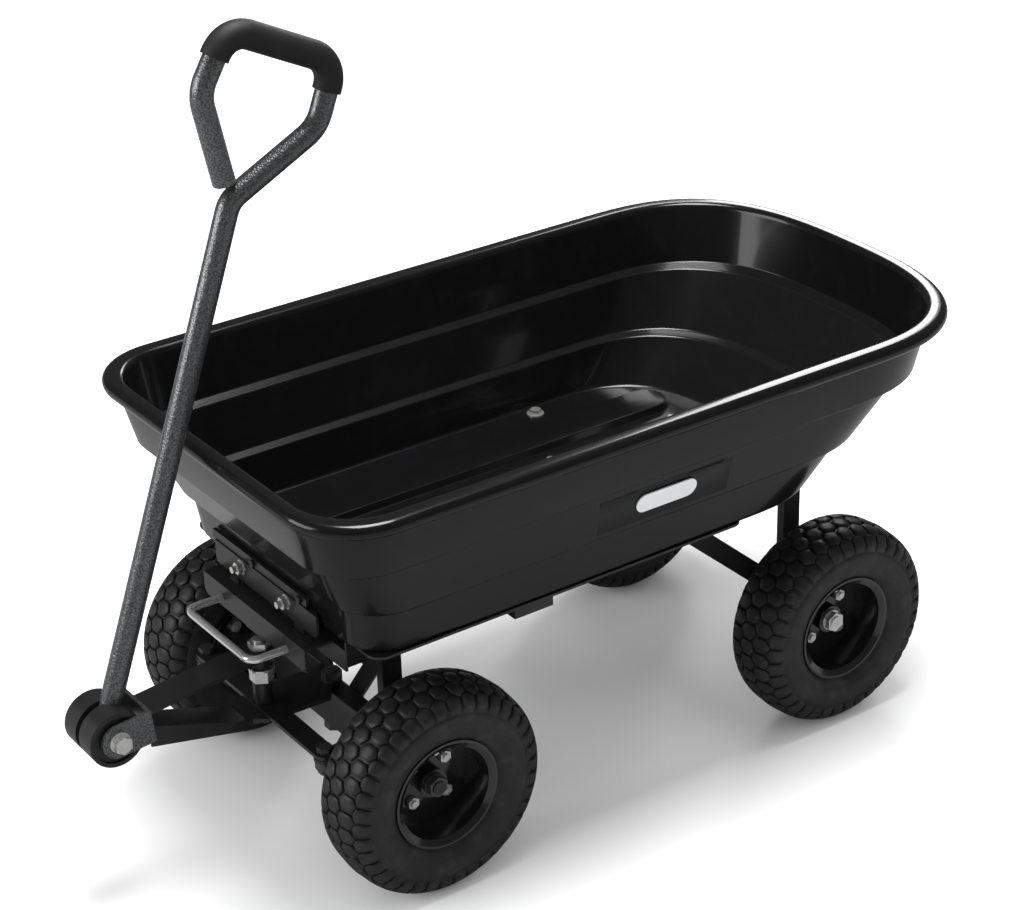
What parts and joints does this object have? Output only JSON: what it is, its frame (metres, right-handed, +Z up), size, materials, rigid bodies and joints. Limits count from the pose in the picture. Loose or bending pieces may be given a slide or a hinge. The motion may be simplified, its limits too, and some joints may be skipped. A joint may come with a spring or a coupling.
{
  "type": "tow behind cart",
  "caption": "Four-wheel garden dump cart: stepped poly tub that tips back off a steel chassis, pull handle with a loop grip, drawbar and linked front-wheel steering.",
  "frame": {"origin": "on the ground under the middle of the cart's bounding box", "axes": "+Z up, drawbar and handle towards -Y, tub tips over the +Y end, +X is the right-hand side for someone behind the cart looking towards the drawbar"},
  "size_m": [0.546, 1.107, 0.9527],
  "materials": {
    "tub_poly": "semi-gloss moulded black",
    "frame_paint": "semi-gloss black powder coat",
    "hammered_paint": "hammered silver-grey",
    "rim_paint": "gloss black",
    "tyre_rubber": "matt moulded rubber",
    "grip_foam": "matt closed-cell foam",
    "hub_plastic": "fine grained black",
    "zinc": "bright zinc plate",
    "dark_zinc": "dull dark zinc plate",
    "lever_chrome": "polished plate",
    "badge": "blank silver"
  },
  "bodies": {
    "chassis": {"rail_left": "frame_paint", "rail_right": "frame_paint", "front_cross_member": "frame_paint", "mid_cross_member": "frame_paint", "front_axle_beam": "frame_paint", "rear_axle": "zinc", "frame_fasteners": "zinc", "hinge_pin": "zinc", "latch_bracket": "frame_paint", "front_leg_left": "frame_paint", "front_leg_right": "frame_paint", "rear_leg_left": "frame_paint", "rear_leg_right": "frame_paint", "rear_brace_left": "frame_paint", "rear_brace_right": "frame_paint", "front_struts": "frame_paint", "knuckle_bracket_left": "frame_paint", "knuckle_bracket_right": "frame_paint"},
    "tipping_tub": {"tub": "tub_poly", "catch_plate": "frame_paint", "catch_spacer": "frame_paint", "badge_plate": "badge", "tub_bolts": "zinc", "hinge_strap_left": "frame_paint", "hinge_strap_right": "frame_paint"},
    "drawbar": {"tongue": "frame_paint", "upper_arm": "frame_paint", "yoke": "hammered_paint", "link_pin": "zinc", "pin_spacers": "frame_paint", "drawbar_kingpin": "dark_zinc", "handle_bolt": "zinc"},
    "tie_link": {"tie_bar": "frame_paint"},
    "knuckle_left": {"steering_arm_left": "frame_paint", "spindle_left": "frame_paint", "link_fasteners_left": "dark_zinc"},
    "knuckle_right": {"steering_arm_right": "frame_paint", "spindle_right": "frame_paint", "link_fasteners_right": "dark_zinc"},
    "handle": {"handle_tube": "hammered_paint", "handle_grip": "grip_foam", "hub_disc_left": "hub_plastic", "hub_disc_right": "hub_plastic"},
    "lever": {"release_lever": "lever_chrome"},
    "front_left_wheel": {"front_left_tyre": "tyre_rubber", "front_left_rim": "rim_paint", "front_left_hub": "rim_paint", "front_left_wheel_bolts": "zinc"},
    "front_right_wheel": {"front_right_tyre": "tyre_rubber", "front_right_rim": "rim_paint", "front_right_hub": "rim_paint", "front_right_wheel_bolts": "zinc"},
    "rear_left_wheel": {"rear_left_tyre": "tyre_rubber", "rear_left_rim": "rim_paint", "rear_left_hub": "rim_paint", "rear_left_wheel_bolts": "zinc"},
    "rear_right_wheel": {"rear_right_tyre": "tyre_rubber", "rear_right_rim": "rim_paint", "rear_right_hub": "rim_paint", "rear_right_wheel_bolts": "zinc"}
  },
  "joints": [
    {"name": "tub_tip", "type": "hinge", "parent": "chassis", "child": "tipping_tub", "pos_m": [0, 0.3415, 0.282], "axis": [-1, 0, 0], "range_deg": [0, 45]},
    {"name": "drawbar_steer", "type": "hinge", "parent": "chassis", "child": "drawbar", "pos_m": [0, -0.2345, 0.157], "axis": [0, 0, 1], "range_deg": [-23, 23]},
    {"name": "knuckle_left_steer", "type": "hinge", "parent": "chassis", "child": "knuckle_left", "pos_m": [-0.132, -0.2345, 0.13], "axis": [0, 0, 1], "range_deg": [-23, 23]},
    {"name": "knuckle_right_steer", "type": "hinge", "parent": "chassis", "child": "knuckle_right", "pos_m": [0.132, -0.2345, 0.13], "axis": [0, 0, 1], "range_deg": [-23, 23]},
    {"name": "tie_bar_swing", "type": "hinge", "parent": "drawbar", "child": "tie_link", "pos_m": [0, -0.3245, 0.1628], "axis": [0, 0, 1], "range_deg": [-23, 23]},
    {"name": "handle_swing", "type": "hinge", "parent": "drawbar", "child": "handle", "pos_m": [0, -0.5205, 0.205], "axis": [1, 0, 0], "range_deg": [0, 116]},
    {"name": "lever_slide", "type": "slide", "parent": "chassis", "child": "lever", "axis": [0, -1, 0], "range_m": [-0.008, 0.006]},
    {"name": "front_left_wheel_spin", "type": "hinge", "parent": "knuckle_left", "child": "front_left_wheel", "pos_m": [-0.203, -0.2345, 0.1275], "axis": [1, 0, 0], "continuous": true},
    {"name": "front_right_wheel_spin", "type": "hinge", "parent": "knuckle_right", "child": "front_right_wheel", "pos_m": [0.203, -0.2345, 0.1275], "axis": [1, 0, 0], "continuous": true},
    {"name": "rear_left_wheel_spin", "type": "hinge", "parent": "chassis", "child": "rear_left_wheel", "pos_m": [-0.203, 0.3415, 0.1275], "axis": [1, 0, 0], "continuous": true},
    {"name": "rear_right_wheel_spin", "type": "hinge", "parent": "chassis", "child": "rear_right_wheel", "pos_m": [0.203, 0.3415, 0.1275], "axis": [1, 0, 0], "continuous": true}
  ],
  "couplings": [
    {"joint": "knuckle_left_steer", "follows": "drawbar_steer", "ratio": 1},
    {"joint": "knuckle_right_steer", "follows": "drawbar_steer", "ratio": 1},
    {"joint": "tie_bar_swing", "follows": "drawbar_steer", "ratio": -1}
  ]
}
